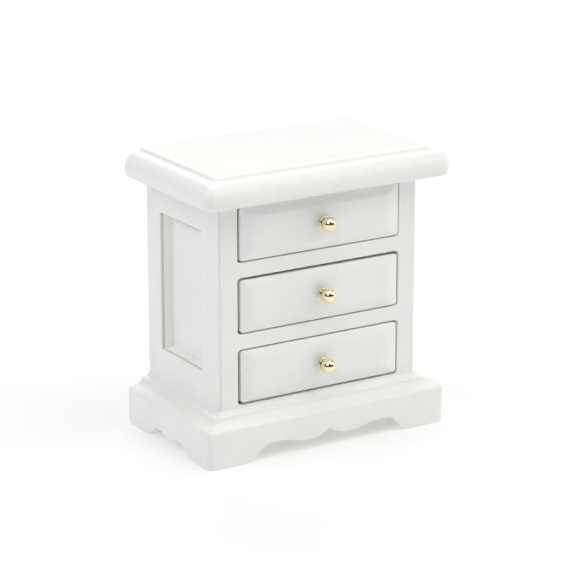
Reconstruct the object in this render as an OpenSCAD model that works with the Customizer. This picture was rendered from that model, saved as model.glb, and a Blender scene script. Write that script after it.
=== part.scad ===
// Three-drawer bedside chest at dolls' house scale (1:12): painted wood, brass ball knobs.
// X runs across the chest, the drawers open towards -Y, +Z is up and the floor is Z = 0.
// The origin is under the middle of the overall box.

/* [Carcass] */
// Width across the two sides
carcass_w = 44; // [40:0.5:50]
// Depth from the face frame to the back
carcass_d = 27.7; // [25:0.1:34]
// Height of the top board's underside
carcass_top = 50.1; // [49.6:0.1:54]
// Thickness of the face frame and of the side frames
frame_t = 1.9; // [1.5:0.1:2.2]
// Thickness of the solid board behind each side frame
side_board_t = 2.1; // [1.6:0.1:2.5]
// Thickness of the back panel
back_t = 1.2; // [0.8:0.1:1.6]
// Thickness of the shelves and of the carcass floor
shelf_t = 1.5; // [1:0.1:2]
// Size of the small V groove along each mitred front corner
corner_groove = 0.12; // [0.05:0.01:0.2]

/* [Face frame] */
// Height of each drawer window
window_h = 11; // [10:0.1:11.2]
// Height of the rail between two windows
rail_h = 3; // [2:0.1:3.3]
// Height of the lowest window's sill
sill_z = 10.35; // [10.35:0.01:10.6]
// Corner radius of the windows
window_r = 0.7; // [0.3:0.1:0.9]

/* [Side panels] */
// Visible width of the frame round each side panel
side_stile = 5.8; // [4:0.1:8]
// How much wider the front stile of a side frame is than its other stile and its sill
side_front_extra = 1.5; // [0:0.1:2]
// How much wider the top rail of a side frame is than its sill
side_top_extra = 1; // [0:0.1:2]
// Width of the bead that lines the side window
bead_w = 0.3; // [0.2:0.05:0.8]
// How far the bead stands off the panel
bead_h = 1.5; // [0.5:0.1:1.8]

/* [Top board] */
// Thickness of the top board
top_t = 5.6; // [5.2:0.1:7]
// Overhang of the top board at each side
top_side = 5.1; // [4:0.1:6]
// Overhang of the top board at the front
top_front = 4.8; // [4:0.1:6]
// How far the top board stops short of the back
top_set_in = 0.8; // [0:0.1:1.5]
// Radius of the quarter round along the upper edge
top_round = 2.85; // [2:0.05:2.85]
// Height of the widest line above the underside
nose_h = 2; // [1.5:0.1:2.1]
// Distance that the underside's edge is set in from the widest line
nose_in = 0.6; // [0.3:0.1:0.9]
// Width of the flat ledge round the raised field
top_ledge = 0.65; // [0.4:0.05:1]
// Radius of the two front corners, seen from above
top_corner_r = 1.9; // [0.5:0.1:2.5]

/* [Plinth] */
// Overhang of the plinth at each side
plinth_side = 4.9; // [4.2:0.1:5]
// Overhang of the plinth at the front
plinth_front = 3.85; // [3.7:0.05:4.4]
// Height of the apron boards
apron_h = 6.5; // [6:0.1:6.6]
// Thickness of the apron boards
apron_t = 2.4; // [1.8:0.1:3]
// Width of each foot on the front apron
front_foot = 8.4; // [6:0.1:11]
// Width of each foot on the side aprons
side_foot = 7.3; // [5:0.1:9]
// Height of the arches in the front apron
front_arch_h = 3.2; // [2.4:0.1:4]
// Height of the two drooping lobes in the front apron
front_lobe_h = 2.2; // [1:0.1:2.8]
// Height of the point between the lobes
front_point_h = 3.6; // [2.4:0.1:4.5]
// Height of the arches in the side aprons
side_arch_h = 2.3; // [1.8:0.1:3.5]
// Height of the drooping lobe in the side aprons
side_lobe_h = 1.3; // [0.5:0.1:1.9]
// Radius of the plinth's vertical front corners
plinth_corner_r = 0.8; // [0.3:0.1:1.5]
// Side of the square glue blocks inside the plinth
block_w = 6; // [4:0.5:8]

/* [Drawers] */
// Gap at each side of a drawer front
side_gap = 0.3; // [0.2:0.05:0.5]
// Gap under a drawer
low_gap = 0.25; // [0.15:0.05:0.4]
// Gap over a drawer front
high_gap = 0.4; // [0.2:0.05:0.6]
// Thickness of a drawer front at its edge
front_edge_t = 1.4; // [1:0.1:1.8]
// Height of the raised field above the edge
field_rise = 0.7; // [0.3:0.05:1]
// Width of the bevels at the ends of a drawer front
end_bevel = 2.9; // [1.5:0.1:5]
// Width of the bevels along the top and the bottom
long_bevel = 1.9; // [1:0.1:3.5]
// Thickness of the drawer sides and backs
box_t = 1.2; // [0.8:0.1:2]
// Thickness of the drawer bottoms
bottom_t = 0.8; // [0.6:0.1:1.2]
// Height of the drawer sides
box_h = 8.75; // [6:0.05:9.5]
// Clearance between a closed drawer and the back panel
back_gap = 0.65; // [0.4:0.05:2]

/* [Knobs] */
// Radius of the ball
knob_r = 1.45; // [1.3:0.05:1.5]
// Distance of the ball's centre from the drawer front
knob_out = 2.6; // [2.4:0.05:2.6]
// Radius of the stem between the drawer front and the collar
stem_r = 0.6; // [0.55:0.05:0.9]
// Radius of the collar behind the ball
collar_r = 1.35; // [1:0.05:1.4]
// Thickness of the collar
collar_t = 0.5; // [0.3:0.05:0.6]
// Distance of the collar's back from the drawer front
collar_out = 1.05; // [0.9:0.05:1.2]
// Radius of the pin that is pressed through the drawer front
pin_r = 0.5; // [0.3:0.05:0.7]
// Height of the knob above the middle of the drawer front
knob_lift = 0.3; // [-0.5:0.05:0.6]

/* [Hidden] */
$fn = 64;

paint = [0.93, 0.93, 0.91];
bare_wood = [0.80, 0.66, 0.47];
brass = [0.83, 0.66, 0.30];

// Overall box, centred on the origin in plan
half_w = carcass_w / 2 + top_side;
half_d = (carcass_d + top_front) / 2;
carcass_half = carcass_w / 2;
face_y = -half_d + top_front;
rear_y = half_d;
top_rear_y = rear_y - top_set_in;
frame_back_y = face_y + frame_t;
panel_front_y = rear_y - back_t;

// Inside of the carcass
frame_inner_x = carcass_half - frame_t;
clear_half = frame_inner_x - side_board_t;

// Plinth outline
plinth_half = carcass_half + plinth_side;
plinth_y = face_y - plinth_front;

// Profile of the base moulding: distances in from its outer face, heights from its underside
arris_r = 0.5;
slope_run = 0.5;
slope_rise = 0.25;
lower_cove = 1.5;
step_w = 0.35;
upper_cove = 1.1;
moulding_h = sill_z - apron_h;
lip_h = moulding_h - upper_cove - lower_cove - slope_rise - arris_r;

// Underside of the top board's nose: the circle through its edge and its widest line
nose_r = (nose_h * nose_h + nose_in * nose_in) / (2 * nose_in);
quarter_top = nose_h + top_round;

// Side window
side_window_y = [face_y + side_stile + side_front_extra, rear_y - side_stile];
side_window_z = [sill_z + side_stile, carcass_top - side_stile - side_top_extra];

// Drawer sizes
front_half = clear_half - side_gap;
front_h = window_h - low_gap - high_gap;
front_r = window_r - 0.1;
box_half = clear_half - side_gap - 0.1;
box_front_y = face_y + front_edge_t;
box_back_y = panel_front_y - back_gap;
block_foot_gap = 0.8;
back_rail_z = 3.2;

// Runs past a face that a cut has to break through
past = 1;

function drawer_z(level) = sill_z + level * (window_h + rail_h);
function ease(t) = (1 - cos(180 * t)) / 2;

// Lower edge of the front apron: feet, arches, two lobes and a point. u runs from 0 (middle) to 1 (foot).
peak_out = 0.70;
peak_in = 0.61;
lobe_at = 0.26;
function front_edge(u) =
    u > peak_out ? front_arch_h * ease((1 - u) / (1 - peak_out)) :
    u > peak_in ? front_arch_h :
    u > lobe_at ? front_lobe_h + (front_arch_h - front_lobe_h) * ease((u - lobe_at) / (peak_in - lobe_at)) :
    front_lobe_h + (front_point_h - front_lobe_h) * pow(1 - u / lobe_at, 2);

// Lower edge of a side apron: feet, arches and one lobe
side_peak_out = 0.55;
side_peak_in = 0.40;
function side_edge(u) =
    u > side_peak_out ? side_arch_h * ease((1 - u) / (1 - side_peak_out)) :
    u > side_peak_in ? side_arch_h :
    side_lobe_h + (side_arch_h - side_lobe_h) * ease(u / side_peak_in);

// A 2D outline with rounded corners on its low-Y side only
module front_rounded(half, y_low, y_high, r) {
    translate([-half, y_low + r]) square([2 * half, y_high - y_low - r]);
    translate([-half + r, y_low]) square([2 * (half - r), r + past]);
    for (s = [-1, 1])
        translate([s * (half - r), y_low + r]) circle(r = r);
}

// A 2D rectangle with four rounded corners, its lower edge on Y = 0
module rounded_rectangle(half, height, r) {
    translate([-half + r, 0]) square([2 * (half - r), height]);
    translate([-half, r]) square([2 * half, height - 2 * r]);
    for (s = [-1, 1], z = [r, height - r])
        translate([s * (half - r), z]) circle(r = r);
}

// Stand a 2D outline up: its X stays X, its Y becomes Z, and it runs from y_low to y_high
module stand_along_y(y_low, y_high) {
    translate([0, y_high, 0]) rotate([90, 0, 0]) linear_extrude(y_high - y_low) children();
}

// Stand a 2D outline up: its X becomes Y, its Y becomes Z, and it runs across the chest
module stand_along_x(half) {
    translate([-half, 0, 0]) rotate([90, 0, 90]) linear_extrude(2 * half) children();
}

// Section of the top board: moulded edge at X = 0, square end at X = run
module top_section(run) {
    translate([top_round, 0]) square([run - top_round, quarter_top]);
    translate([top_round + top_ledge, 0]) square([run - top_round - top_ledge, top_t]);
    intersection() {
        translate([top_round, nose_h]) circle(r = top_round);
        translate([0, nose_h]) square(top_round);
    }
    intersection() {
        translate([nose_r, nose_h]) circle(r = nose_r);
        square([nose_r, nose_h]);
    }
}

module top_board() {
    color(paint) translate([0, 0, carcass_top]) intersection() {
        stand_along_x(half_w) translate([-half_d, 0]) top_section(half_d + top_rear_y);
        stand_along_y(-half_d, top_rear_y) for (s = [0, 1])
            mirror([s, 0]) translate([-half_w, 0]) top_section(half_w + 0.01);
        linear_extrude(top_t) front_rounded(half_w, -half_d, top_rear_y, top_corner_r);
    }
}

module front_frame() {
    groove = corner_groove;
    color(paint) difference() {
        translate([0, 0, apron_h]) linear_extrude(carcass_top - apron_h) polygon([
            [-carcass_half + 2 * groove, face_y], [carcass_half - 2 * groove, face_y],
            [carcass_half - groove, face_y + groove], [frame_inner_x, frame_back_y],
            [-frame_inner_x, frame_back_y], [-carcass_half + groove, face_y + groove]
        ]);
        for (level = [0 : 2])
            translate([0, 0, drawer_z(level)]) stand_along_y(face_y - past, frame_back_y + past)
                rounded_rectangle(clear_half, window_h, window_r);
    }
}

// Side frame on the +X side
module side_frame() {
    groove = corner_groove;
    color(paint) difference() {
        translate([0, 0, apron_h]) linear_extrude(carcass_top - apron_h) polygon([
            [carcass_half, face_y + 2 * groove], [carcass_half, rear_y], [frame_inner_x, rear_y],
            [frame_inner_x, frame_back_y], [carcass_half - groove, face_y + groove]
        ]);
        translate([frame_inner_x - past, side_window_y[0], side_window_z[0]])
            cube([frame_t + 2 * past, side_window_y[1] - side_window_y[0], side_window_z[1] - side_window_z[0]]);
    }
}

module side_board() {
    color(paint) translate([clear_half, frame_back_y, apron_h])
        cube([side_board_t, panel_front_y - frame_back_y, carcass_top - apron_h]);
}

// Thin bead that lines the side window, standing on the side board
module panel_bead() {
    run_y = side_window_y[1] - side_window_y[0];
    run_z = side_window_z[1] - side_window_z[0];
    color(paint) translate([frame_inner_x, side_window_y[0], side_window_z[0]]) difference() {
        cube([bead_h, run_y, run_z]);
        translate([-past, bead_w, bead_w]) cube([bead_h + 2 * past, run_y - 2 * bead_w, run_z - 2 * bead_w]);
    }
}

module back_panel() {
    color(paint) translate([-frame_inner_x, panel_front_y, apron_h])
        cube([2 * frame_inner_x, back_t, carcass_top - apron_h]);
}

// Board under the drawer at the given level
module shelf(level) {
    color(bare_wood) translate([-clear_half, frame_back_y, drawer_z(level) - shelf_t])
        cube([2 * clear_half, panel_front_y - frame_back_y, shelf_t]);
}

// Section of the base moulding: outer face at X = 0, top of the apron at Y = 0
module base_section(run) {
    cove_z = lip_h + arris_r + slope_rise;
    cove_x = arris_r + slope_run;
    step_x = cove_x + lower_cove + step_w;
    square([run, lip_h]);
    translate([arris_r, lip_h]) circle(r = arris_r);
    translate([arris_r, 0]) square([run - arris_r, lip_h + arris_r]);
    polygon([
        [arris_r, lip_h + arris_r], [run, lip_h + arris_r],
        [run, cove_z], [cove_x, cove_z]
    ]);
    difference() {
        translate([cove_x, cove_z]) square([run - cove_x, lower_cove]);
        translate([cove_x, cove_z + lower_cove]) circle(r = lower_cove);
    }
    difference() {
        translate([step_x, cove_z + lower_cove]) square([run - step_x, upper_cove]);
        translate([step_x, moulding_h]) circle(r = upper_cove);
    }
}

// The three mouldings as one block, before it is cut into mitred strips
module base_block() {
    translate([0, 0, apron_h]) intersection() {
        stand_along_x(plinth_half) translate([plinth_y, 0]) base_section(rear_y - plinth_y);
        stand_along_y(plinth_y, rear_y) for (s = [0, 1])
            mirror([s, 0]) translate([-plinth_half, 0]) base_section(plinth_half + 0.01);
        linear_extrude(moulding_h) front_rounded(plinth_half, plinth_y, rear_y, plinth_corner_r);
    }
}

module base_moulding_front() {
    color(paint) intersection() {
        base_block();
        linear_extrude(sill_z) polygon([
            [-plinth_half, plinth_y], [plinth_half, plinth_y],
            [plinth_half - plinth_front, face_y], [-plinth_half + plinth_front, face_y]
        ]);
    }
}

module base_moulding_side() {
    color(paint) intersection() {
        base_block();
        linear_extrude(sill_z) polygon([
            [plinth_half, plinth_y], [plinth_half, rear_y], [carcass_half, rear_y],
            [carcass_half, face_y], [plinth_half - plinth_front, face_y]
        ]);
    }
}

// Elevation of an apron board: its lower edge follows the shaped outline
edge_steps = 72;
module front_elevation() {
    span = plinth_half - front_foot;
    polygon(concat(
        [[plinth_half, 0], [plinth_half, apron_h], [-plinth_half, apron_h], [-plinth_half, 0]],
        [for (i = [0 : edge_steps]) let (t = 2 * i / edge_steps - 1) [t * span, front_edge(abs(t))]]
    ));
}

module side_elevation() {
    middle = (plinth_y + rear_y) / 2;
    span = (rear_y - plinth_y) / 2 - side_foot;
    polygon(concat(
        [[rear_y, 0], [rear_y, apron_h], [plinth_y, apron_h], [plinth_y, 0]],
        [for (i = [0 : edge_steps]) let (t = 2 * i / edge_steps - 1) [middle + t * span, side_edge(abs(t))]]
    ));
}

module apron_front() {
    color(paint) intersection() {
        stand_along_y(plinth_y, plinth_y + apron_t) front_elevation();
        linear_extrude(apron_h) polygon([
            [-plinth_half, plinth_y], [plinth_half, plinth_y],
            [plinth_half - apron_t, plinth_y + apron_t], [-plinth_half + apron_t, plinth_y + apron_t]
        ]);
        linear_extrude(apron_h) front_rounded(plinth_half, plinth_y, rear_y, plinth_corner_r);
    }
}

module apron_side() {
    color(paint) intersection() {
        stand_along_x(plinth_half) side_elevation();
        linear_extrude(apron_h) polygon([
            [plinth_half, plinth_y], [plinth_half, rear_y], [plinth_half - apron_t, rear_y],
            [plinth_half - apron_t, plinth_y + apron_t]
        ]);
        linear_extrude(apron_h) front_rounded(plinth_half, plinth_y, rear_y, plinth_corner_r);
    }
}

module plinth_back_rail() {
    color(paint) translate([-plinth_half + apron_t, rear_y - apron_t, back_rail_z])
        cube([2 * (plinth_half - apron_t), apron_t, apron_h - back_rail_z]);
}

// Four glue blocks that tie the aprons together and carry the carcass
module corner_blocks() {
    block_x = plinth_half - apron_t - block_w;
    color(bare_wood) for (s = [0, 1], y = [plinth_y + apron_t, rear_y - apron_t - block_w])
        mirror([s, 0, 0]) translate([block_x, y, block_foot_gap])
            cube([block_w, block_w, apron_h - block_foot_gap]);
}

// Bevelled drawer front with a raised field and a hole for the knob's pin
module drawer_front(level) {
    field_y = face_y - field_rise;
    knob_z = front_h / 2 + knob_lift;
    color(paint) translate([0, 0, drawer_z(level) + low_gap]) difference() {
        intersection() {
            linear_extrude(front_h) polygon([
                [-front_half, box_front_y], [-front_half, face_y], [-front_half + end_bevel, field_y],
                [front_half - end_bevel, field_y], [front_half, face_y], [front_half, box_front_y]
            ]);
            stand_along_x(front_half) polygon([
                [box_front_y, 0], [face_y, 0], [field_y, long_bevel],
                [field_y, front_h - long_bevel], [face_y, front_h], [box_front_y, front_h]
            ]);
            stand_along_y(field_y, box_front_y) rounded_rectangle(front_half, front_h, front_r);
        }
        translate([0, box_front_y + past, knob_z]) rotate([90, 0, 0])
            cylinder(r = pin_r, h = front_edge_t + field_rise + 2 * past);
    }
}

// Drawer side on the +X side
module drawer_side(level) {
    color(bare_wood) translate([box_half - box_t, box_front_y, drawer_z(level) + low_gap])
        cube([box_t, box_back_y - box_front_y, box_h]);
}

module drawer_back(level) {
    color(bare_wood) translate([-box_half + box_t, box_back_y - box_t, drawer_z(level) + low_gap])
        cube([2 * (box_half - box_t), box_t, box_h]);
}

module drawer_bottom(level) {
    color(bare_wood) translate([-box_half + box_t, box_front_y, drawer_z(level) + low_gap])
        cube([2 * (box_half - box_t), box_back_y - box_t - box_front_y, bottom_t]);
}

// Turned knob: pin, stem, collar and ball on one axis
module knob(level) {
    pin_len = front_edge_t + field_rise;
    color(brass) translate([0, face_y - field_rise, drawer_z(level) + low_gap + front_h / 2 + knob_lift])
        rotate([90, 0, 0]) rotate_extrude() {
            translate([0, -pin_len]) square([pin_r, pin_len + collar_out]);
            square([stem_r, knob_out]);
            translate([0, collar_out]) square([collar_r, collar_t]);
            intersection() {
                translate([0, knob_out]) circle(r = knob_r);
                translate([0, knob_out - knob_r]) square([knob_r, 2 * knob_r]);
            }
        }
}

top_board();
front_frame();
mirror([1, 0, 0]) side_frame();  // side_frame_left
side_frame();  // side_frame_right
mirror([1, 0, 0]) side_board();  // side_board_left
side_board();  // side_board_right
mirror([1, 0, 0]) panel_bead();  // panel_bead_left
panel_bead();  // panel_bead_right
back_panel();
shelf(2);  // shelf_upper
shelf(1);  // shelf_lower
shelf(0);  // carcass_floor
base_moulding_front();
mirror([1, 0, 0]) base_moulding_side();  // base_moulding_left
base_moulding_side();  // base_moulding_right
apron_front();
mirror([1, 0, 0]) apron_side();  // apron_left
apron_side();  // apron_right
plinth_back_rail();
corner_blocks();
drawer_front(2);  // top_drawer_front
mirror([1, 0, 0]) drawer_side(2);  // top_drawer_side_left
drawer_side(2);  // top_drawer_side_right
drawer_back(2);  // top_drawer_back
drawer_bottom(2);  // top_drawer_bottom
knob(2);  // top_drawer_knob
drawer_front(1);  // middle_drawer_front
mirror([1, 0, 0]) drawer_side(1);  // middle_drawer_side_left
drawer_side(1);  // middle_drawer_side_right
drawer_back(1);  // middle_drawer_back
drawer_bottom(1);  // middle_drawer_bottom
knob(1);  // middle_drawer_knob
drawer_front(0);  // bottom_drawer_front
mirror([1, 0, 0]) drawer_side(0);  // bottom_drawer_side_left
drawer_side(0);  // bottom_drawer_side_right
drawer_back(0);  // bottom_drawer_back
drawer_bottom(0);  // bottom_drawer_bottom
knob(0);  // bottom_drawer_knob
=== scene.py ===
import math

import bmesh
import bpy
import numpy as np
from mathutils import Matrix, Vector, noise


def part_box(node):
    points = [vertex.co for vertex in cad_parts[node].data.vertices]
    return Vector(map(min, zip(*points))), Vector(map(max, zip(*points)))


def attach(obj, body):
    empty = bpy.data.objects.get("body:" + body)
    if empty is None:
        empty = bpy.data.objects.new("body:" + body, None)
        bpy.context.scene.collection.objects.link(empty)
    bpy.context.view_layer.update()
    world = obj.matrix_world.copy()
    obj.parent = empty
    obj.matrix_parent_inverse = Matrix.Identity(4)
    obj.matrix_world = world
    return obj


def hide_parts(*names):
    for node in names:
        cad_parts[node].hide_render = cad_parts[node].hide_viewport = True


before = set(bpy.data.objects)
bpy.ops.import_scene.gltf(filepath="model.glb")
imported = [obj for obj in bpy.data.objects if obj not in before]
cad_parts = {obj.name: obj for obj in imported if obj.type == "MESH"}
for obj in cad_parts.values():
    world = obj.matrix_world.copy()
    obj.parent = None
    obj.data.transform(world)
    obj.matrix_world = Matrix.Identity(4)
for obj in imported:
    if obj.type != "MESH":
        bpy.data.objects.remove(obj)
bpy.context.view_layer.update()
# Without a seed, wandering() would give other shapes in every run.
noise.seed_set(1)

# The chest's sizes are in millimetres until piece() makes them into metres. The camera, the floor and
# the lights are in metres.
MM = 0.001

# ---------------------------------------------------------------- camera

VIEW_AZIMUTH = -31.69
VIEW_ELEVATION = 17.07
VIEW_DISTANCE = 0.4936
VIEW_TARGET = Vector((0.00148, 0.00235, 0.0269))
VIEW_LENS = 158.2


def direction(azimuth, elevation):
    """Unit vector from the chest towards a place at that azimuth and elevation, in degrees."""
    a, e = math.radians(azimuth), math.radians(elevation)
    return Vector((math.sin(a) * math.cos(e), -math.cos(a) * math.cos(e), math.sin(e)))


def make_camera():
    back = direction(VIEW_AZIMUTH, VIEW_ELEVATION)
    camera = bpy.data.objects.new("camera", bpy.data.cameras.new("camera"))
    camera.data.lens = VIEW_LENS
    camera.data.clip_start = 0.01
    camera.location = VIEW_TARGET + back * VIEW_DISTANCE
    camera.rotation_mode = "QUATERNION"
    camera.rotation_quaternion = (-back).to_track_quat("-Z", "Y")
    bpy.context.scene.collection.objects.link(camera)
    bpy.context.scene.camera = camera


make_camera()

# ---------------------------------------------------------------- sizes from the frame


def box_mm(node):
    low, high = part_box(node)
    return low / MM, high / MM


TOP_LOW, TOP_HIGH = box_mm("top_board")
FRAME_LOW, FRAME_HIGH = box_mm("front_frame")
SIDE_LOW, SIDE_HIGH = box_mm("side_frame_right")
BEAD_LOW, BEAD_HIGH = box_mm("panel_bead_right")
APRON_LOW, APRON_HIGH = box_mm("apron_front")
BASE_TOP = box_mm("base_moulding_right")[1].z

FACE_Y = FRAME_LOW.y
REAR_Y = SIDE_HIGH.y
FRAME_T = FRAME_HIGH.y - FRAME_LOW.y
CARCASS_HALF = SIDE_HIGH.x
CLEAR_HALF = box_mm("carcass_floor")[1].x
PLINTH_HALF = APRON_HIGH.x
PLINTH_Y = APRON_LOW.y
LEVELS = ("bottom", "middle", "top")

# ---------------------------------------------------------------- outlines and profiles


def arc(x, y, radius, start, end, steps=12):
    """Points of an arc round (x, y), from one angle to another, in degrees."""
    turns = [math.radians(start + (end - start) * i / steps) for i in range(steps + 1)]
    return [(x + radius * math.cos(t), y + radius * math.sin(t)) for t in turns]


def thinned(points, tolerance):
    """The polyline without the points that it doesn't need (Douglas and Peucker)."""
    if len(points) < 3:
        return points
    line = points[-1] - points[0]
    length = max(np.linalg.norm(line), 1e-9)
    off = points - points[0]
    away = np.abs(line[0] * off[:, 1] - line[1] * off[:, 0]) / length
    far = int(np.argmax(away))
    if away[far] <= tolerance:
        return np.array([points[0], points[-1]])
    return np.vstack([thinned(points[: far + 1], tolerance)[:-1], thinned(points[far:], tolerance)])


def paint_film(points, soft, tolerance=0.003):
    """An open outline with its corners rounded as a coat of paint rounds them. Its ends stay."""
    points = np.array(points, float)
    along = np.concatenate([[0], np.cumsum(np.linalg.norm(np.diff(points, axis=0), axis=1))])
    count = int(along[-1] / (soft / 3)) + 2
    places = np.linspace(0, along[-1], count)
    even = np.stack([np.interp(places, along, points[:, k]) for k in (0, 1)], axis=1)
    reach = min(9, count - 1)
    before = 2 * even[0] - even[reach:0:-1]
    after = 2 * even[-1] - even[-2 : -2 - reach : -1]
    padded = np.vstack([before, even, after])
    offsets = np.arange(-reach, reach + 1) * (along[-1] / (count - 1))
    weights = np.exp(-0.5 * (offsets / soft) ** 2)
    weights /= weights.sum()
    smooth = np.stack([np.convolve(padded[:, k], weights, "valid") for k in (0, 1)], axis=1)
    return thinned(smooth, tolerance)


# ---------------------------------------------------------------- materials


class Graph:
    """A material's nodes, made by short calls. An input is a value or another node's output."""

    def __init__(self, name):
        self.material = bpy.data.materials.new(name)
        self.material.use_nodes = True
        self.nodes = self.material.node_tree.nodes
        self.links = self.material.node_tree.links
        self.shader = self.nodes["Principled BSDF"]

    def feed(self, socket, value):
        if isinstance(value, bpy.types.NodeSocket):
            self.links.new(value, socket)
        else:
            socket.default_value = value

    def add(self, kind, inputs=(), **settings):
        node = self.nodes.new("ShaderNode" + kind)
        for key, value in settings.items():
            setattr(node, key, value)
        for key, value in dict(inputs).items():
            self.feed(node.inputs[key], value)
        return node

    def place(self, stretch=(1, 1, 1)):
        """Coordinates in millimetres, drawn out along an axis where its stretch is under 1."""
        coordinates = self.add("TexCoord").outputs["Object"]
        scale = [s / MM for s in stretch]
        return self.add("Mapping", {"Vector": coordinates, "Scale": scale}).outputs["Vector"]

    def noise(self, vector, scale, detail=2.0, roughness=0.5, distortion=0.0):
        return self.add("TexNoise", {
            "Vector": vector, "Scale": scale, "Detail": detail,
            "Roughness": roughness, "Distortion": distortion,
        }).outputs["Fac"]

    def ramp(self, value, low, high, first=0.0, last=1.0):
        """The value with low to high spread over first to last, held to those ends."""
        return self.add("MapRange", {
            "Value": value, "From Min": low, "From Max": high, "To Min": first, "To Max": last,
        }, interpolation_type="SMOOTHSTEP").outputs["Result"]

    def blend(self, share, first, second):
        node = self.add("Mix", data_type="RGBA")
        for index, value in ((0, share), (6, first), (7, second)):
            self.feed(node.inputs[index], value)
        return node.outputs[2]

    def math(self, operation, first, second):
        node = self.add("Math", operation=operation)
        self.feed(node.inputs[0], first)
        self.feed(node.inputs[1], second)
        return node.outputs[0]

    def bump(self, height, strength, distance, normal=None):
        inputs = {"Height": height, "Strength": strength, "Distance": distance * MM}
        if normal is not None:
            inputs["Normal"] = normal
        return self.add("Bump", inputs).outputs["Normal"]

    def finish(self, **sockets):
        for name, value in sockets.items():
            self.feed(self.shader.inputs[name.replace("_", " ")], value)
        return self.material


made_materials = {}
DRAWN = 0.12
ALONG = {"x": (DRAWN, 1, 1), "y": (1, DRAWN, 1), "z": (1, 1, DRAWN)}
PAINT_WHITE = (0.878, 0.878, 0.870, 1)
PAINT_COOL = (0.856, 0.860, 0.852, 1)
PAINT_CREAM = (0.860, 0.835, 0.785, 1)
# Painted shade, partly dust: the darker tone of corners and creases, then how far it reaches and how
# strongly
PAINTED_SHADE_AND_DUST = (0.780, 0.745, 0.690, 1)
SHADE_AND_DUST_REACH, SHADE_AND_DUST_SHARE = 1.6, 0.55
WORN_REACH, WORN_SHARE = 0.35, 0.25


def paint(grain):
    """Satin white paint brushed along one axis, with the wood's grain just showing through.
    In patches its corners and creases get painted shade, partly dust, and it is creamy where edges
    are worn."""
    if grain in made_materials:
        return made_materials[grain]
    g = Graph("satin_white_paint_" + grain)
    plain, drawn = g.place(), g.place(ALONG[grain])
    cloud = g.noise(plain, 0.11, 3, 0.6)
    strokes = g.noise(drawn, 2.2, 4, 0.6, 0.3)
    pores = g.noise(drawn, 6.5, 2, 0.5)
    peel = g.noise(plain, 1.6, 2, 0.5)

    colour = g.blend(g.ramp(cloud, 0.35, 0.65), PAINT_COOL, PAINT_WHITE)
    colour = g.blend(g.ramp(strokes, 0.60, 0.85, 0, 0.35), colour, PAINT_CREAM)
    # Painted shade, partly dust: in patches the paint is darkened where ambient occlusion finds a
    # corner or crease
    corner = g.add("AmbientOcclusion", {"Distance": SHADE_AND_DUST_REACH * MM}, samples=8).outputs["AO"]
    shade_and_dust_patches = g.ramp(g.noise(plain, 0.45, 3, 0.6), 0.35, 0.7)
    shade_and_dust = g.math("MULTIPLY", g.ramp(corner, 0.64, 0.20), shade_and_dust_patches)
    colour = g.blend(g.math("MULTIPLY", shade_and_dust, SHADE_AND_DUST_SHARE), colour, PAINTED_SHADE_AND_DUST)
    edge = g.add("AmbientOcclusion", {"Distance": WORN_REACH * MM}, samples=8, inside=True,
                 only_local=True)
    patches = g.ramp(g.noise(plain, 0.9, 4, 0.7), 0.5, 0.72)
    worn = g.math("MULTIPLY", g.ramp(edge.outputs["AO"], 0.75, 0.35), patches)
    colour = g.blend(g.math("MULTIPLY", worn, WORN_SHARE), colour, PAINT_CREAM)

    normal = g.bump(peel, 0.10, 0.10)
    normal = g.bump(strokes, 0.16, 0.06, normal)
    normal = g.bump(pores, 0.10, 0.02, normal)
    made_materials[grain] = g.finish(
        Base_Color=colour, Roughness=g.ramp(strokes, 0.3, 0.7, 0.34, 0.48), Normal=normal,
    )
    return made_materials[grain]


WOOD_LIGHT = (0.610, 0.490, 0.340, 1)
WOOD_DARK = (0.430, 0.315, 0.190, 1)
WOOD_PORE = (0.310, 0.215, 0.125, 1)


def bare_wood(grain):
    """Bare light hardwood, its grain along one axis: growth rings, fibres and fine pores."""
    key = "wood_" + grain
    if key in made_materials:
        return made_materials[key]
    g = Graph("bare_" + key)
    drawn = g.place(ALONG[grain])
    fine = g.place([0.4 * s if s < 1 else s for s in ALONG[grain]])
    wave = g.noise(drawn, 0.22, 2, 0.5)
    rings = g.add("Math", {0: g.math("MULTIPLY", wave, 55.0)}, operation="SINE").outputs[0]
    fibres = g.noise(fine, 4.5, 5, 0.65)
    pores = g.ramp(g.noise(fine, 9.0, 2, 0.5), 0.63, 0.74)
    colour = g.blend(g.ramp(rings, -1.0, 1.0), WOOD_LIGHT, WOOD_DARK)
    colour = g.blend(g.ramp(fibres, 0.3, 0.75, 0.25, 0.85), colour, WOOD_LIGHT)
    colour = g.blend(g.math("MULTIPLY", pores, 0.7), colour, WOOD_PORE)
    normal = g.bump(fibres, 0.35, 0.05)
    normal = g.bump(pores, -0.4, 0.05, normal)
    made_materials[key] = g.finish(
        Base_Color=colour, Roughness=g.ramp(fibres, 0.3, 0.7, 0.72, 0.55), Normal=normal,
    )
    return made_materials[key]


BRASS_BRIGHT = (0.930, 0.845, 0.570, 1)
BRASS_DEEP = (0.840, 0.715, 0.430, 1)
# Painted shade and dark reflection on the knobs: the brown, then how far off the drawer front and
# collar darken it
BRASS_PAINTED_SHADE = (0.420, 0.320, 0.190, 1)
BRASS_SHADE_REACH = 3


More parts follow.
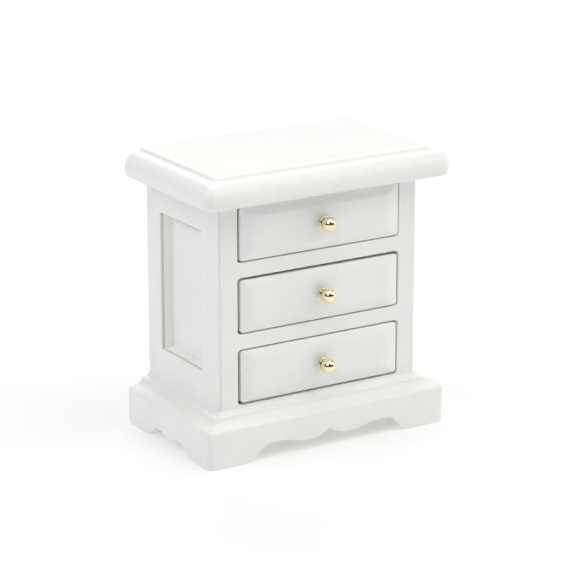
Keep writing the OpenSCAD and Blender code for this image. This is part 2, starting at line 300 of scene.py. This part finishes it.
def brass():
    """Polished brass with faint turning rings round the knob's axis, a little tarnish, and brown
    painted shade and dark reflection near the drawer front and its collar.
    """
    if "brass" in made_materials:
        return made_materials["brass"]
    g = Graph("polished_brass")
    plain = g.place()
    tarnish = g.noise(plain, 1.1, 4, 0.65)
    turning = g.noise(g.place((0.05, 9, 0.05)), 1.0, 3, 0.6)
    colour = g.blend(g.ramp(tarnish, 0.45, 0.75), BRASS_BRIGHT, BRASS_DEEP)
    # Painted shade and dark reflection: the brass turns brown where the drawer front and the collar
    # are near
    brass_unshaded = g.add("AmbientOcclusion", {"Distance": BRASS_SHADE_REACH * MM}, samples=8).outputs["AO"]
    colour = g.blend(g.ramp(brass_unshaded, 0.92, 0.45), colour, BRASS_PAINTED_SHADE)
    normal = g.bump(turning, 0.12, 0.02)
    normal = g.bump(tarnish, 0.06, 0.05, normal)
    made_materials["brass"] = g.finish(
        Base_Color=colour, Metallic=1.0, Roughness=g.ramp(tarnish, 0.35, 0.75, 0.06, 0.22),
        Normal=normal,
    )
    return made_materials["brass"]


# ---------------------------------------------------------------- making pieces

WELD_DISTANCE, LEAST_EDGE = 0.002, 0.001


def piece(name, vertices, faces, material, body, slot, replaced, sharp=50):
    """A mesh piece in the row frame, from points in millimetres."""
    mesh = bpy.data.meshes.new(name)
    mesh.from_pydata([Vector(v) * MM for v in vertices], [], faces)
    built = bmesh.new()
    built.from_mesh(mesh)
    bmesh.ops.remove_doubles(built, verts=built.verts, dist=WELD_DISTANCE * MM)
    bmesh.ops.dissolve_degenerate(built, edges=built.edges, dist=LEAST_EDGE * MM)
    bmesh.ops.recalc_face_normals(built, faces=built.faces)
    built.to_mesh(mesh)
    built.free()
    return dress(bpy.data.objects.new(name, mesh), material, body, replaced, sharp)


def dress(thing, material, body, replaced, sharp):
    """Shades, paints and places a new piece: it rides on its body and stands for its CAD nodes."""
    bpy.context.scene.collection.objects.link(thing)
    thing.data.materials.append(material)
    thing.data.shade_smooth()
    thing.data.set_sharp_from_angle(angle=math.radians(sharp))
    weighted = thing.modifiers.new("weighted_normals", "WEIGHTED_NORMAL")
    weighted.keep_sharp = True
    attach(thing, body)
    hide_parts(*replaced)
    return thing


def band(rings, closed):
    """Faces between rings of equal length. The vertices are numbered ring by ring."""
    size = len(rings[0])
    steps = size if closed else size - 1
    return [
        (r * size + i, r * size + (i + 1) % size, (r + 1) * size + (i + 1) % size, (r + 1) * size + i)
        for r in range(len(rings) - 1)
        for i in range(steps)
    ]


def lofted(name, rings, **rest):
    """A closed piece through closed rings of equal length, with a flat cap at each end."""
    size = len(rings[0])
    last = (len(rings) - 1) * size
    faces = band(rings, True) + [tuple(range(size)), tuple(range(last, last + size))]
    return piece(name, [p for ring in rings for p in ring], faces, **rest)


def cut_board(name, outlines, soft, thickness, place, mitre=None, **rest):
    """A flat board cut to the first outline and pierced by the others, with rounded edges.
    place takes a point (u, v, depth) of the board to the row frame. mitre then moves its points."""
    curve = bpy.data.curves.new(name, "CURVE")
    curve.dimensions = "2D"
    curve.fill_mode = "BOTH"
    curve.extrude = thickness / 2 - soft
    curve.bevel_depth = soft
    curve.bevel_resolution = 3
    curve.offset = -soft
    for outline in outlines:
        spline = curve.splines.new("POLY")
        spline.points.add(len(outline) - 1)
        for point, (u, v) in zip(spline.points, outline):
            point.co = (u, v, 0, 1)
        spline.use_cyclic_u = True
    holder = bpy.data.objects.new(name + "_curve", curve)
    bpy.context.scene.collection.objects.link(holder)
    bpy.context.view_layer.update()
    depsgraph = bpy.context.evaluated_depsgraph_get()
    flat = bpy.data.meshes.new_from_object(holder.evaluated_get(depsgraph))
    bpy.data.objects.remove(holder)
    vertices = [place(v.co.x, v.co.y, v.co.z) for v in flat.vertices]
    if mitre:
        vertices = [mitre(v) for v in vertices]
    faces = [tuple(p.vertices) for p in flat.polygons]
    bpy.data.meshes.remove(flat)
    return piece(name, vertices, faces, **rest)


# ---------------------------------------------------------------- plan of the mouldings


UNMOVED_SHARE = 0.7


def squeezed(value, end, new_end):
    """The value with the last stretch before end drawn in, so that it reaches new_end instead."""
    kept = UNMOVED_SHARE * end
    if abs(value) <= kept:
        return value
    return math.copysign(kept + (abs(value) - kept) * (new_end - kept) / (end - kept), value)


class Plan:
    """What a moulding runs along, seen from above: a front and two sides with rounded corners.
    The corners' radius shrinks with the inset from the outline, down to least. The sides are moved
    in by side_share times the inset."""

    def __init__(self, half, front, rear, radius, least, side_share=1):
        self.half, self.front, self.rear, self.radius, self.least = half, front, rear, radius, least
        self.side_share = side_share

    def corner(self, inset):
        """Radius of a corner at that inset, and its centre: the distance sideways, and its y."""
        radius = max(self.radius - inset, self.least)
        return radius, self.half - self.side_share * inset - radius, self.front + inset + radius

    def front_point(self, x, inset):
        return squeezed(x, self.corner(0)[1], self.corner(inset)[1]), self.front + inset

    def side_point(self, side, y, inset):
        run, new_run = self.rear - self.corner(0)[2], self.rear - self.corner(inset)[2]
        x = side * (self.half - self.side_share * inset)
        return x, self.rear - squeezed(self.rear - y, run, new_run)

    def corner_point(self, side, turn, inset):
        """A point of a corner: turn 0 faces sideways and 90 faces the front."""
        radius, x, y = self.corner(inset)
        t = math.radians(turn)
        return side * (x + radius * math.cos(t)), y - radius * math.sin(t)


def spread(start, end, steps):
    return [start + (end - start) * i / steps for i in range(steps + 1)]


# ---------------------------------------------------------------- top board

NOSE_H, NOSE_IN = 2.0, 0.6
TOP_ROUND, TOP_LEDGE = 2.85, 0.65
TOP_CORNER, FIELD_CORNER = 1.9, 0.8
UNDERSIDE_IN, FIELD_IN = 4, 3
REAR_SOFT, REAR_MARGIN = 0.15, 0.05
PAINT_SOFT = 0.42
WANDER, WANDER_SIZE = 0.02, 7


def wandering(point, amount):
    """The point moved a little, so that a moulding runs as unevenly as one sanded by hand."""
    return Vector(point) + amount * noise.noise_vector(Vector(point) / WANDER_SIZE)


def top_profile():
    thickness = TOP_HIGH.z - TOP_LOW.z
    nose_radius = (NOSE_H**2 + NOSE_IN**2) / (2 * NOSE_IN)
    low = math.degrees(math.asin(NOSE_H / nose_radius))
    field = TOP_ROUND + TOP_LEDGE
    outline = [(UNDERSIDE_IN, 0)]
    outline += arc(nose_radius, NOSE_H, nose_radius, 180 + low, 180)
    outline += arc(TOP_ROUND, NOSE_H, TOP_ROUND, 180, 90, 24)
    outline += [(field, NOSE_H + TOP_ROUND), (field, thickness), (field + FIELD_IN, thickness)]
    return paint_film(outline, PAINT_SOFT)


def top_ring(plan, inset, height, thickness):
    """The whole outline of the top board at one point of its profile."""
    from_edge = min(height, thickness - height, REAR_SOFT)
    rear = plan.rear - REAR_SOFT + math.sqrt(max(REAR_SOFT**2 - (REAR_SOFT - from_edge) ** 2, 0))
    side_end = plan.rear - 2 * REAR_SOFT - REAR_MARGIN
    corner_x, corner_y = plan.corner(0)[1:]
    ring = [plan.side_point(-1, y, inset) for y in spread(side_end, corner_y, 14)[:-1]]
    ring += [plan.corner_point(-1, turn, inset) for turn in spread(0, 90, 10)]
    ring += [plan.front_point(x, inset) for x in spread(-corner_x, corner_x, 26)[1:-1]]
    ring += [plan.corner_point(1, turn, inset) for turn in spread(90, 0, 10)]
    ring += [plan.side_point(1, y, inset) for y in spread(corner_y, side_end, 14)[1:]]
    x, y = plan.half - inset - REAR_SOFT, rear - REAR_SOFT
    ring += arc(x, y, REAR_SOFT, 0, 90, 3)
    ring += arc(-x, y, REAR_SOFT, 90, 180, 3)
    return [(x, y, TOP_LOW.z + height) for x, y in ring]


def make_top_board():
    plan = Plan(TOP_HIGH.x, TOP_LOW.y, TOP_HIGH.y, TOP_CORNER, FIELD_CORNER)
    profile = top_profile()
    thickness = TOP_HIGH.z - TOP_LOW.z
    rings = []
    for i, (inset, height) in enumerate(profile):
        amount = WANDER * math.sin(math.pi * i / (len(profile) - 1))
        rings.append([wandering(p, amount) for p in top_ring(plan, inset, height, thickness)])
    lofted("moulded_top", rings, material=paint("x"), body="carcass", slot="white_paint",
           replaced=["top_board"])


# ---------------------------------------------------------------- plinth

PLINTH_CORNER = 0.8
APRON_T = 2.4
APRON_SOFT, APRON_TOP_SOFT, APRON_REAR_SOFT = 0.22, 0.03, 0.12
SIDE_FOOT = 7.3
# Distances from the middle to where a front foot starts, and to the high part of its arch
FOOT_LEFT, OUTER_LEFT = 19.0, 12.8
FOOT_RIGHT, OUTER_RIGHT = 18.1, 13.4
ARCH_INNER, LOBE_AT = 11.2, 4.8
FRONT_ARCH, FRONT_LOBE, FRONT_POINT = 3.2, 2.2, 3.6
SIDE_ARCH, SIDE_LOBE = 2.3, 1.3
# Shares of the way from a side's middle to a foot between which its arch is at its highest
SIDE_INNER, SIDE_OUTER = 0.40, 0.55
CORNER_WEAR, WEAR_H = 0.7, 1.9
LEAST_R = 0.15
REAR_FOOT_ROUND = 1.2


def ease(t):
    return (1 - math.cos(math.pi * t)) / 2


def front_edge(x):
    """Height of the front apron's lower edge: a middle point, two lobes, two arches and the feet."""
    foot, outer = (FOOT_LEFT, OUTER_LEFT) if x < 0 else (FOOT_RIGHT, OUTER_RIGHT)
    x = abs(x)
    if x > foot:
        return 0
    if x > outer:
        return FRONT_ARCH * ease((foot - x) / (foot - outer))
    if x > ARCH_INNER:
        return FRONT_ARCH
    if x > LOBE_AT:
        return FRONT_LOBE + (FRONT_ARCH - FRONT_LOBE) * ease((x - LOBE_AT) / (ARCH_INNER - LOBE_AT))
    return FRONT_LOBE + (FRONT_POINT - FRONT_LOBE) * (1 - x / LOBE_AT) ** 2


def side_edge(u):
    """Height of a side apron's lower edge, from the middle (u = 0) to a foot (u = 1)."""
    if u > SIDE_OUTER:
        return SIDE_ARCH * ease((1 - u) / (1 - SIDE_OUTER))
    if u > SIDE_INNER:
        return SIDE_ARCH
    return SIDE_LOBE + (SIDE_ARCH - SIDE_LOBE) * ease(u / SIDE_INNER)


def plinth_plan(height):
    """The plinth's outline at that height: its front corners are worn rounder near the floor."""
    wear = CORNER_WEAR * max(1 - height / WEAR_H, 0) ** 1.5
    return Plan(PLINTH_HALF, PLINTH_Y, REAR_Y, PLINTH_CORNER + wear, LEAST_R)


def apron_section(low):
    """Section of an apron whose lower edge is at that height: (inset, height) from the face."""
    high = APRON_HIGH.z
    section = arc(APRON_SOFT, low + APRON_SOFT, APRON_SOFT, 270, 180, 5)
    section += arc(APRON_TOP_SOFT, high - APRON_TOP_SOFT, APRON_TOP_SOFT, 180, 90, 3)
    section += [(APRON_T, high)]
    soft = APRON_REAR_SOFT
    section += arc(APRON_T - soft, low + soft, soft, 360, 270, 3)
    return section


def apron_ring(place, low):
    """One section of an apron, put in place by a function of the plan at each point's height."""
    return [(*place(plinth_plan(z), d), z) for d, z in apron_section(low)]


def apron_corner(side, turn):
    return apron_ring(lambda plan, d: plan.corner_point(side, turn, d), 0)


def front_place(plan, x, inset):
    """A point of the front at x, drawn sideways so that it keeps clear of the worn corner's arc."""
    reach = plinth_plan(0).corner(0)[1]
    return squeezed(x, reach, plan.corner(inset)[1]), plan.front + inset


def side_place(plan, side, y, inset):
    reach = plan.rear - plinth_plan(0).corner(0)[2]
    new_reach = plan.rear - plan.corner(inset)[2]
    return side * (plan.half - inset), plan.rear - squeezed(plan.rear - y, reach, new_reach)


def make_aprons():
    corner_x, corner_y = plinth_plan(0).corner(0)[1:]
    turns = spread(45, 90, 6)

    shaped = spread(-FOOT_LEFT, FOOT_RIGHT, 96)
    rings = [apron_corner(-1, turn) for turn in turns[:-1]]
    for x in spread(-corner_x, -FOOT_LEFT, 12)[:-1] + shaped + spread(FOOT_RIGHT, corner_x, 12)[1:]:
        rings.append(apron_ring(lambda plan, d: front_place(plan, x, d), front_edge(x)))
    rings += [apron_corner(1, turn) for turn in reversed(turns[:-1])]
    lofted("plinth_apron_front", rings, material=paint("x"), body="carcass", slot="white_paint",
           replaced=["apron_front"])

    middle, span = (PLINTH_Y + REAR_Y) / 2, (REAR_Y - PLINTH_Y) / 2 - SIDE_FOOT
    shaped = [middle + t * span for t in spread(-1, 1, 72)]
    front_foot = spread(corner_y, middle - span, 10)[:-1]
    rear_foot = spread(middle + span, REAR_Y - REAR_FOOT_ROUND, 6)[1:]
    for side, name in ((-1, "left"), (1, "right")):
        rings = [apron_corner(side, turn) for turn in spread(45, 0, 6)[:-1]]
        for y in front_foot + shaped + rear_foot:
            u = abs(y - middle) / span
            low = side_edge(u) if u < 1 else 0
            rings.append(apron_ring(lambda plan, d: side_place(plan, side, y, d), low))
        for turn in spread(0, 90, 12)[1:]:
            fall = REAR_FOOT_ROUND * (1 - math.cos(math.radians(turn)))
            y = REAR_Y - REAR_FOOT_ROUND * (1 - math.sin(math.radians(turn)))
            rings.append(apron_ring(lambda plan, d: side_place(plan, side, y, d), fall))
        lofted("plinth_apron_" + name, rings, material=paint("y"), body="carcass", slot="white_paint",
               replaced=["apron_" + name])


ARRIS, SLOPE_RUN, SLOPE_RISE = 0.6, 0.4, 0.2
LOWER_COVE, STEP_W, UPPER_COVE = 1.5, 0.35, 1.1
SEAM_STEP = 0.01
MOULDING_SOFT, MITRE_R = 0.16, 0.6
CREASE, CREASE_W = 0.2, 0.14


def base_profile(reach, crease):
    """The moulding's face, from its underside up and in to the carcass: (inset, height).
    The crease is how deep the paint is cracked where the upper cove starts."""
    height = BASE_TOP - APRON_HIGH.z
    lip = height - UPPER_COVE - LOWER_COVE - SLOPE_RISE - ARRIS
    cove_x, cove_z = ARRIS + SLOPE_RUN, lip + ARRIS + SLOPE_RISE
    step_x = cove_x + LOWER_COVE + STEP_W
    outline = [(SEAM_STEP, -1)]
    outline += arc(ARRIS + SEAM_STEP, lip, ARRIS, 180, 90, 8)
    outline += arc(cove_x, cove_z + LOWER_COVE, LOWER_COVE, 270, 360, 14)
    last = math.degrees(math.acos(min((reach - step_x) / UPPER_COVE, 1)))
    outline += arc(step_x, height, UPPER_COVE, 270, 360 - last, 12)
    face = []
    for inset, z in paint_film(outline, MOULDING_SOFT):
        deep = crease * math.exp(-(((z - cove_z - LOWER_COVE) / CREASE_W) ** 2))
        if z > 0:
            face.append((inset + deep, z - deep / 2))
    return [(1, 0), (SEAM_STEP, 0)] + face + [(reach, 0)]


def make_base_mouldings():
    """Three strips with one profile. At the sides it is stretched to the sides' wider overhang."""
    reach = FACE_Y - PLINTH_Y
    stretch = (PLINTH_HALF - CARCASS_HALF) / reach
    plan = Plan(PLINTH_HALF, PLINTH_Y, REAR_Y, PLINTH_CORNER, MITRE_R, stretch)
    corner_x, corner_y = plan.corner(0)[1:]

    def raised(place, section):
        return [wandering((*place(d), APRON_HIGH.z + z), WANDER) for d, z in section]

    turns = spread(45, 90, 6)
    section = base_profile(reach, 0)
    rings = [raised(lambda d: plan.corner_point(-1, t, d), section) for t in turns[:-1]]
    for x in spread(-corner_x, corner_x, 40):
        rings.append(raised(lambda d: plan.front_point(x, d), section))
    rings += [raised(lambda d: plan.corner_point(1, t, d), section) for t in reversed(turns[:-1])]
    lofted("plinth_moulding_front", rings, material=paint("x"), body="carcass", slot="white_paint",
           replaced=["base_moulding_front"])

    section = base_profile(reach, CREASE)
    for side, name in ((-1, "left"), (1, "right")):
        turns = spread(45, 0, 6)[:-1]
        rings = [raised(lambda d: plan.corner_point(side, t, d), section) for t in turns]
        for y in spread(corner_y, REAR_Y - 0.2, 24):
            rings.append(raised(lambda d: plan.side_point(side, y, d), section))
        rings.append([(p.x, REAR_Y, p.z) for p in rings[-1]])
        lofted("plinth_moulding_" + name, rings, material=paint("y"), body="carcass",
               slot="white_paint", replaced=["base_moulding_" + name])


# ---------------------------------------------------------------- carcass frames

WINDOW_R = 0.7
EDGE_SOFT = 0.22
CORNER_R = 0.55
MITRE_SUNK, MITRE_TURN = 0.10, 20
BEAD_GAP, BEAD_FOOT, BEAD_CROWN, BEAD_SOFT = 0.6, 0.62, 0.25, 0.12
TOP_BEAD_GAP, LOW_BEAD_GAP = 0.25, 0.08


def rounded_outline(half, low, high, radius, steps=6):
    """A closed rectangle with rounded corners: ±half across, and from low to high."""
    return (
        arc(half - radius, high - radius, radius, 0, 90, steps)
        + arc(-half + radius, high - radius, radius, 90, 180, steps)
        + arc(-half + radius, low + radius, radius, 180, 270, steps)
        + arc(half - radius, low + radius, radius, 270, 360, steps)
    )


def rectangle(low_u, high_u, low_v, high_v):
    return [(low_u, low_v), (high_u, low_v), (high_u, high_v), (low_u, high_v)]


def window_z(level):
    """Lowest and highest edge of the window of the drawer at that level, 0 to 2."""
    front_low, front_high = box_mm(LEVELS[level] + "_drawer_front")
    return front_low.z - LOW_GAP, front_high.z + HIGH_GAP


def mitred(reach, depth):
    """A point past the mitre's start moved on to the mitre, its rounded edge on to the corner's arc.
    Both are distances: out from the start of the edge's rounding, and in from the board's face.
    At the mitre itself the paint has sunk into the joint."""
    turn = math.atan2(reach, EDGE_SOFT - depth) / 2 if depth < EDGE_SOFT else math.radians(45)
    sunk = MITRE_SUNK * max(1 - (45 - math.degrees(turn)) / MITRE_TURN, 0)
    on_arc = CORNER_R * (1 - math.cos(turn)) + sunk
    if depth < EDGE_SOFT:
        return CORNER_R * (1 - math.sin(turn)) + sunk, on_arc
    inner = max(depth, on_arc)
    return inner, inner


def make_front_frame():
    """The face frame, mitred to the side frames at its two outer edges."""
    middle_y = FACE_Y + FRAME_T / 2
    start = CARCASS_HALF - CORNER_R
    edge = start + EDGE_SOFT
    outlines = [rectangle(-edge, edge, FRAME_LOW.z, FRAME_HIGH.z)]
    outlines += [rounded_outline(CLEAR_HALF, *window_z(level), WINDOW_R) for level in range(3)]

    def mitre(p):
        if abs(p[0]) < start - 0.001:
            return p
        inset, depth = mitred(abs(p[0]) - start, p[1] - FACE_Y)
        return (math.copysign(CARCASS_HALF - inset, p[0]), FACE_Y + depth, p[2])

    cut_board("face_frame", outlines, EDGE_SOFT, FRAME_T, lambda u, v, w: (u, middle_y - w, v), mitre,
              material=paint("z"), body="carcass", slot="white_paint", replaced=["front_frame"])


def bead_profile(height):
    """Section of the bead that lines a side window: (inset from its edge, height off the panel)."""
    outline = [(0, 0), (0, height), (BEAD_CROWN, height)]
    for t in spread(0, 1, 12)[1:]:
        outline.append((BEAD_CROWN + (BEAD_FOOT - BEAD_CROWN) * ease(t), height * (1 - t)))
    return paint_film(outline, BEAD_SOFT)


def make_side_frames():
    """Each side's frame, and the bead that slopes from its window down to the panel."""
    start = FACE_Y + CORNER_R
    first_y, last_y = BEAD_LOW.y, BEAD_HIGH.y
    first_z, last_z = BEAD_LOW.z, BEAD_HIGH.z
    outer = rectangle(start - EDGE_SOFT, REAR_Y, SIDE_LOW.z, SIDE_HIGH.z)
    window = rectangle(first_y - BEAD_GAP, last_y + BEAD_GAP,
                       first_z - LOW_BEAD_GAP, last_z + TOP_BEAD_GAP)

    def mitre(p):
        if p[1] > start + 0.001:
            return p
        inset, depth = mitred(start - p[1], CARCASS_HALF - abs(p[0]))
        return (math.copysign(CARCASS_HALF - depth, p[0]), FACE_Y + inset, p[2])

    for side, name in ((-1, "left"), (1, "right")):
        frame_x = CARCASS_HALF - FRAME_T / 2
        cut_board("side_panel_frame_" + name, [outer, window], EDGE_SOFT, FRAME_T,
                  lambda u, v, w: (side * (frame_x + w), u, v), mitre,
                  material=paint("z"), body="carcass", slot="white_paint",
                  replaced=["side_frame_" + name])
        rings = []
        for inset, height in bead_profile(BEAD_HIGH.x - BEAD_LOW.x):
            around = rectangle(first_y + inset, last_y - inset, first_z + inset, last_z - inset)
            rings.append([(side * (BEAD_LOW.x + height), y, z) for y, z in around])
        closed = rings + [rings[0]]
        piece("side_panel_bead_" + name, [p for ring in closed for p in ring], band(closed, True),
              material=paint("z"), body="carcass", slot="white_paint",
              replaced=["panel_bead_" + name])


# ---------------------------------------------------------------- drawers

LOW_GAP, HIGH_GAP = 0.25, 0.4
END_BEVEL, LONG_BEVEL = 2.9, 1.9
BEVEL_BULGE, BEVEL_SOFT = 0.07, 0.1
FRONT_R, FIELD_R = 0.6, 0.25
# How far each front is cut back from its CAD outline: left, right, below and above. One with a
# negative value reaches past it.
CUT_BACK = {
    "bottom": (0.30, 0.06, 0.20, -0.15),
    "middle": (0.27, 0.06, 0.04, 0.10),
    "top": (0.17, -0.08, 0.00, 0.00),
}


def drawer_profile(back_y, edge_y, field_y):
    """Section of a drawer front: (inset from the edge, y), from its back round to its field."""
    rise = edge_y - field_y
    bevel = [
        (LONG_BEVEL * t, edge_y - rise * t - BEVEL_BULGE * math.sin(math.pi * t))
        for t in spread(0, 1, 12)
    ]
    outline = [(1, back_y), (0, back_y)] + bevel + [(LONG_BEVEL + 1, field_y)]
    return paint_film(outline, BEVEL_SOFT)


def drawer_outline(half_x, half_z, radius):
    """Points round a drawer front, in equal number for every size: (x, z) from its middle."""
    x, z = half_x - radius, half_z - radius
    points = [(s, z + radius) for s in spread(x, -x, 20)[1:-1]]
    points += arc(-x, z, radius, 90, 180, 6)
    points += [(-x - radius, s) for s in spread(z, -z, 8)[1:-1]]
    points += arc(-x, -z, radius, 180, 270, 6)
    points += [(s, -z - radius) for s in spread(-x, x, 20)[1:-1]]
    points += arc(x, -z, radius, 270, 360, 6)
    points += [(x + radius, s) for s in spread(-z, z, 8)[1:-1]]
    return points + arc(x, z, radius, 0, 90, 6)


def make_drawer_front(level):
    """The bevelled front, with the hole that the knob's pin goes through."""
    node = LEVELS[level] + "_drawer_front"
    low, high = box_mm(node)
    knob_low, knob_high = box_mm(LEVELS[level] + "_drawer_knob")
    knob_z = (knob_low.z + knob_high.z) / 2
    left, right, below, above = CUT_BACK[LEVELS[level]]
    first_x, last_x = low.x + left, high.x - right
    first_z, last_z = low.z + below, high.z - above
    middle_x, half_x = (first_x + last_x) / 2, (last_x - first_x) / 2
    middle_z, half_z = (first_z + last_z) / 2, (last_z - first_z) / 2
    rings = []
    for inset, y in drawer_profile(high.y, FACE_Y, low.y):
        along = inset * END_BEVEL / LONG_BEVEL
        radius = max(FRONT_R - inset, FIELD_R)
        outline = drawer_outline(half_x - along, half_z - inset, radius)
        rings.append([(middle_x + x, y, middle_z + z) for x, z in outline])

    def hole(y):
        turns = [math.atan2(p[2] - knob_z, p[0]) for p in rings[-1]]
        return [(PIN_R * math.cos(t), y, knob_z + PIN_R * math.sin(t)) for t in turns]

    rings = [hole(high.y)] + rings + [hole(low.y)]
    closed = rings + [rings[0]]
    piece(LEVELS[level] + "_drawer_panel", [p for ring in closed for p in ring], band(closed, True),
          material=paint("x"), body=LEVELS[level] + "_drawer", slot="white_paint", replaced=[node])


PIN_R, STEM_R = 0.5, 0.6
COLLAR_R, COLLAR_T, COLLAR_OUT = 1.35, 0.5, 1.05
BALL_R = 1.45
KNOB_SOFT, KNOB_TOLERANCE = 0.04, 0.0015
TURNED_STEPS = 72


def knob_profile(pin_length, ball_out):
    """The turned outline: (radius, distance out from the drawer front)."""
    collar_end = COLLAR_OUT + COLLAR_T
    start = math.degrees(math.asin((ball_out - collar_end) / BALL_R))
    rim = COLLAR_T / 2
    outline = [(0, -pin_length), (PIN_R, -pin_length), (PIN_R, 0), (STEM_R, 0), (STEM_R, COLLAR_OUT)]
    outline += arc(COLLAR_R - rim, COLLAR_OUT + rim, rim, -80, 80, 10)
    outline += arc(0, ball_out, BALL_R, -start, 90, 40)
    return paint_film(outline, KNOB_SOFT, KNOB_TOLERANCE)


def make_knob(level):
    name = LEVELS[level] + "_drawer_knob"
    low, high = box_mm(name)
    field_y = box_mm(LEVELS[level] + "_drawer_front")[0].y
    axis_z = (low.z + high.z) / 2
    ball_out = field_y - low.y - BALL_R
    rings = [
        [
            (r * math.cos(t), field_y - out, axis_z + r * math.sin(t))
            for t in spread(0, 2 * math.pi, TURNED_STEPS)[:-1]
        ]
        for r, out in knob_profile(high.y - field_y, ball_out)
    ]
    piece(LEVELS[level] + "_turned_knob", [p for ring in rings for p in ring], band(rings, True),
          material=brass(), body=LEVELS[level] + "_drawer", slot="knob_brass", replaced=[name])


# ---------------------------------------------------------------- boards that stay as packed


BOARD_SOFT, THIN_SOFT, BLOCK_SOFT = 0.1, 0.06, 0.25


def finish_board(node, material, soft=BOARD_SOFT):
    """A CAD board keeps its shape: it gets its material and slightly rounded edges."""
    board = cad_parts[node]
    for held in board.material_slots:
        held.material = material
    if not board.material_slots:
        board.data.materials.append(material)
    board.data.shade_smooth()
    weld = board.modifiers.new("weld", "WELD")
    weld.merge_threshold = LEAST_EDGE * MM
    rounded = board.modifiers.new("rounded_edges", "BEVEL")
    rounded.width = soft * MM
    rounded.segments = 3
    rounded.limit_method = "ANGLE"
    board.modifiers.new("weighted_normals", "WEIGHTED_NORMAL")


def finish_boards():
    for side in ("left", "right"):
        finish_board("side_board_" + side, paint("z"))
    finish_board("back_panel", paint("z"))
    finish_board("plinth_back_rail", paint("x"))
    for shelf in ("shelf_upper", "shelf_lower", "carcass_floor"):
        finish_board(shelf, bare_wood("x"))
    finish_board("corner_blocks", bare_wood("z"), BLOCK_SOFT)
    for level in LEVELS:
        for side in ("side_left", "side_right"):
            finish_board(level + "_drawer_" + side, bare_wood("y"))
        finish_board(level + "_drawer_back", bare_wood("x"))
        finish_board(level + "_drawer_bottom", bare_wood("x"), THIN_SOFT)


# ---------------------------------------------------------------- studio

STAGE_HALF = 5.0
FLOOR_WHITE = (0.55, 0.55, 0.55, 1)
FLOOR_SHADE = (0.53, 0.53, 0.53, 1)
FLOOR_GLOW = 0.42


def make_floor():
    mesh = bpy.data.meshes.new("floor")
    corners = [(-STAGE_HALF, -STAGE_HALF, 0), (STAGE_HALF, -STAGE_HALF, 0),
               (STAGE_HALF, STAGE_HALF, 0), (-STAGE_HALF, STAGE_HALF, 0)]
    mesh.from_pydata(corners, [], [(0, 1, 2, 3)])
    floor = bpy.data.objects.new("floor", mesh)
    bpy.context.scene.collection.objects.link(floor)
    g = Graph("studio_floor")
    shade = g.noise(g.place(), 0.004, 2)
    tint = g.blend(shade, FLOOR_SHADE, FLOOR_WHITE)
    mesh.materials.append(g.finish(
        Base_Color=tint, Roughness=0.9, Specular_IOR_Level=0.1,
        Emission_Color=(1, 1, 1, 1), Emission_Strength=FLOOR_GLOW,
    ))


SKY, DARK_SKY = 0.08, 0.02
DARK_AZIMUTH, DARK_ELEVATION = -4, 24
DARK_INNER, DARK_OUTER = 8, 17


def make_world():
    """Faint white light from all round, with a darker patch in front for the brass to reflect."""
    world = bpy.data.worlds.new("studio")
    bpy.context.scene.world = world
    world.use_nodes = True
    nodes, links = world.node_tree.nodes, world.node_tree.links
    towards = nodes.new("ShaderNodeTexCoord").outputs["Generated"]
    dot = nodes.new("ShaderNodeVectorMath")
    dot.operation = "DOT_PRODUCT"
    dot.inputs[1].default_value = direction(DARK_AZIMUTH, DARK_ELEVATION)
    links.new(towards, dot.inputs[0])
    patch = nodes.new("ShaderNodeMapRange")
    patch.interpolation_type = "SMOOTHSTEP"
    patch.inputs["From Min"].default_value = math.cos(math.radians(DARK_OUTER))
    patch.inputs["From Max"].default_value = math.cos(math.radians(DARK_INNER))
    patch.inputs["To Min"].default_value = SKY
    patch.inputs["To Max"].default_value = DARK_SKY
    nodes["Background"].inputs["Color"].default_value = (1, 1, 1, 1)
    links.new(dot.outputs["Value"], patch.inputs["Value"])
    links.new(patch.outputs["Result"], nodes["Background"].inputs["Strength"])


def make_light(name, azimuth, elevation, power, tint=(1, 1, 1), distance=1.5, size=0.9):
    """A square soft box that faces the chest."""
    light = bpy.data.lights.new(name, "AREA")
    light.size = size
    light.energy = power
    light.color = tint
    lamp = bpy.data.objects.new(name, light)
    away = direction(azimuth, elevation)
    lamp.location = VIEW_TARGET + away * distance
    lamp.rotation_mode = "QUATERNION"
    lamp.rotation_quaternion = (-away).to_track_quat("-Z", "Y")
    bpy.context.scene.collection.objects.link(lamp)


WARM = (0.995, 1.0, 0.965)


def make_studio():
    make_floor()
    make_world()
    make_light("overhead_box", 20, 84, 9.2, WARM, distance=1.6, size=1.3)
    make_light("left_box", -120, 35, 6.8)
    make_light("high_left_box", -60, 62, 2.2)
    make_light("front_left_box", -50, 40, 4.1, WARM)
    make_light("front_right_box", 32, 47, 5.6, WARM)
    make_light("right_box", 70, 20, 6.9, WARM)
    make_light("rear_box", 150, 40, 6.8)
    bpy.context.scene.view_settings.view_transform = "Standard"


# ---------------------------------------------------------------- the chest

make_top_board()
make_aprons()
make_base_mouldings()
make_front_frame()
make_side_frames()
for level in range(3):
    make_drawer_front(level)
    make_knob(level)
finish_boards()
make_studio()
